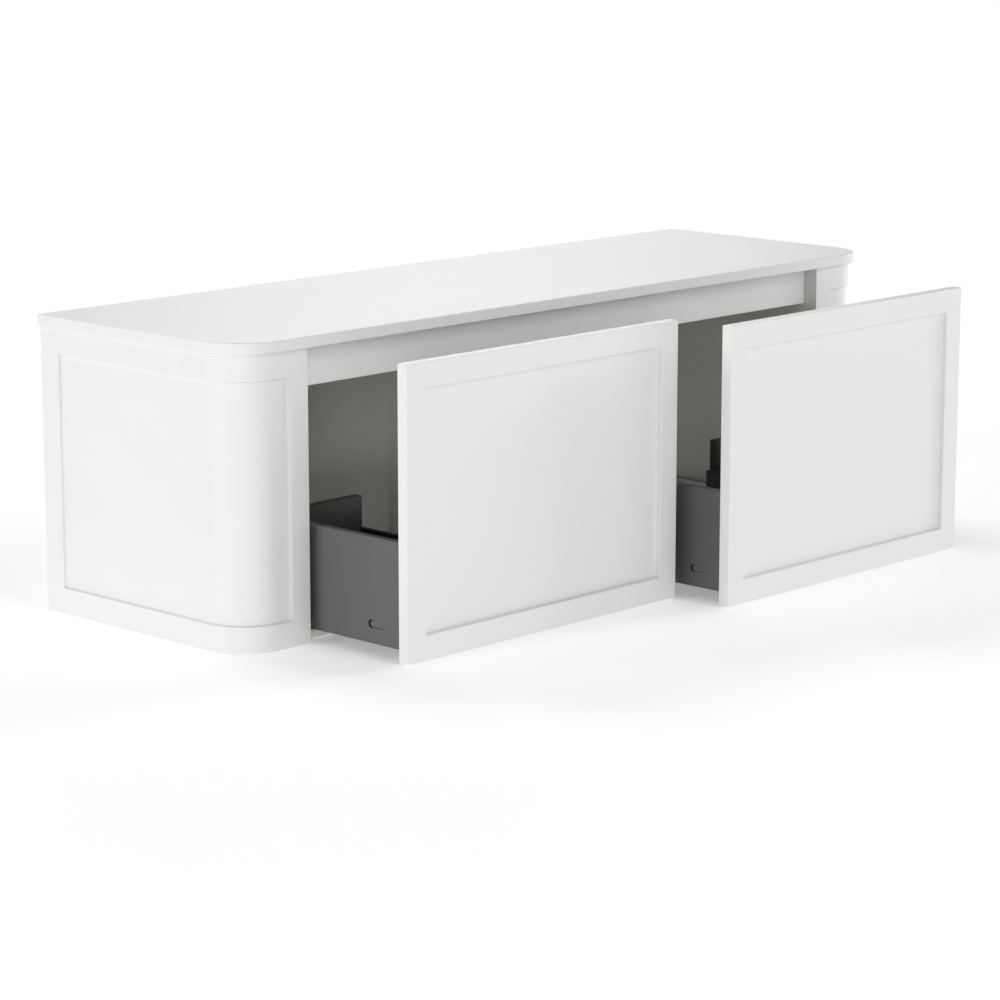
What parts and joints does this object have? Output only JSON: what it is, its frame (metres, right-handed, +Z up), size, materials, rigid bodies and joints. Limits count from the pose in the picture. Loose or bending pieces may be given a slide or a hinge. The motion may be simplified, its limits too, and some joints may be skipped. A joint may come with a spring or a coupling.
{
  "type": "low cabinet with drawers",
  "caption": "Low white cabinet with a rounded top, curved framed end panels and wide side-by-side handleless drawers on full-extension runners, for use under a television.",
  "frame": {"origin": "middle of the cabinet's footprint, drawers left out, on the flat underside of the bottom panel", "axes": "+X to the right as seen from the front, the drawers open towards -Y, +Z up"},
  "size_m": [1.5, 0.7712, 0.4715],
  "materials": {
    "white_lacquer": "white satin lacquer over fibreboard",
    "carcass_board": "off-white melamine-faced board",
    "black_board": "black melamine-faced board",
    "anthracite_steel": "fine matt anthracite powder coat",
    "zinc_plated_steel": "bright zinc plating",
    "adjuster_plastic": "dark grey moulded plastic",
    "clear_bumper": "soft translucent elastomer"
  },
  "bodies": {
    "cabinet": {"top_slab": "white_lacquer", "left_end_panel": "white_lacquer", "right_end_panel": "white_lacquer", "left_carcass_side": "carcass_board", "right_carcass_side": "carcass_board", "centre_partition": "carcass_board", "bottom_panel": "carcass_board", "back_panel": "carcass_board", "front_rail": "white_lacquer", "left_end_base": "carcass_board", "right_end_base": "carcass_board", "left_hanger_bracket": "zinc_plated_steel", "right_hanger_bracket": "zinc_plated_steel", "left_outer_cabinet_runner": "zinc_plated_steel", "left_inner_cabinet_runner": "zinc_plated_steel", "right_outer_cabinet_runner": "zinc_plated_steel", "right_inner_cabinet_runner": "zinc_plated_steel"},
    "left_drawer": {"left_drawer_front": "white_lacquer", "left_drawer_outer_side": "anthracite_steel", "left_drawer_inner_side": "anthracite_steel", "left_drawer_bottom": "black_board", "left_drawer_outer_rear": "black_board", "left_drawer_inner_rear": "black_board", "left_drawer_cutout_liner": "black_board", "left_outer_front_bracket": "zinc_plated_steel", "left_inner_front_bracket": "zinc_plated_steel", "left_outer_adjuster": "adjuster_plastic", "left_inner_adjuster": "adjuster_plastic", "left_outer_drawer_runner": "zinc_plated_steel", "left_inner_drawer_runner": "zinc_plated_steel", "left_bumper_top_inner": "clear_bumper", "left_bumper_top_outer": "clear_bumper", "left_bumper_low_inner": "clear_bumper", "left_bumper_low_outer": "clear_bumper"},
    "left_middle_runners": {"left_outer_middle_runner": "zinc_plated_steel", "left_inner_middle_runner": "zinc_plated_steel"},
    "right_drawer": {"right_drawer_front": "white_lacquer", "right_drawer_outer_side": "anthracite_steel", "right_drawer_inner_side": "anthracite_steel", "right_drawer_bottom": "black_board", "right_drawer_outer_rear": "black_board", "right_drawer_inner_rear": "black_board", "right_drawer_cutout_liner": "black_board", "right_outer_front_bracket": "zinc_plated_steel", "right_inner_front_bracket": "zinc_plated_steel", "right_outer_adjuster": "adjuster_plastic", "right_inner_adjuster": "adjuster_plastic", "right_outer_drawer_runner": "zinc_plated_steel", "right_inner_drawer_runner": "zinc_plated_steel", "right_bumper_top_inner": "clear_bumper", "right_bumper_top_outer": "clear_bumper", "right_bumper_low_inner": "clear_bumper", "right_bumper_low_outer": "clear_bumper"},
    "right_middle_runners": {"right_outer_middle_runner": "zinc_plated_steel", "right_inner_middle_runner": "zinc_plated_steel"}
  },
  "joints": [
    {"name": "left_drawer_slide", "type": "slide", "parent": "cabinet", "child": "left_drawer", "axis": [0, -1, 0], "range_m": [-0.207, 0.133]},
    {"name": "left_runner_slide", "type": "slide", "parent": "cabinet", "child": "left_middle_runners", "axis": [0, -1, 0], "range_m": [-0.1035, 0.0665]},
    {"name": "right_drawer_slide", "type": "slide", "parent": "cabinet", "child": "right_drawer", "axis": [0, -1, 0], "range_m": [-0.3112, 0.0288]},
    {"name": "right_runner_slide", "type": "slide", "parent": "cabinet", "child": "right_middle_runners", "axis": [0, -1, 0], "range_m": [-0.1556, 0.0144]}
  ],
  "couplings": [
    {"joint": "left_runner_slide", "follows": "left_drawer_slide", "ratio": 0.5},
    {"joint": "right_runner_slide", "follows": "right_drawer_slide", "ratio": 0.5}
  ]
}
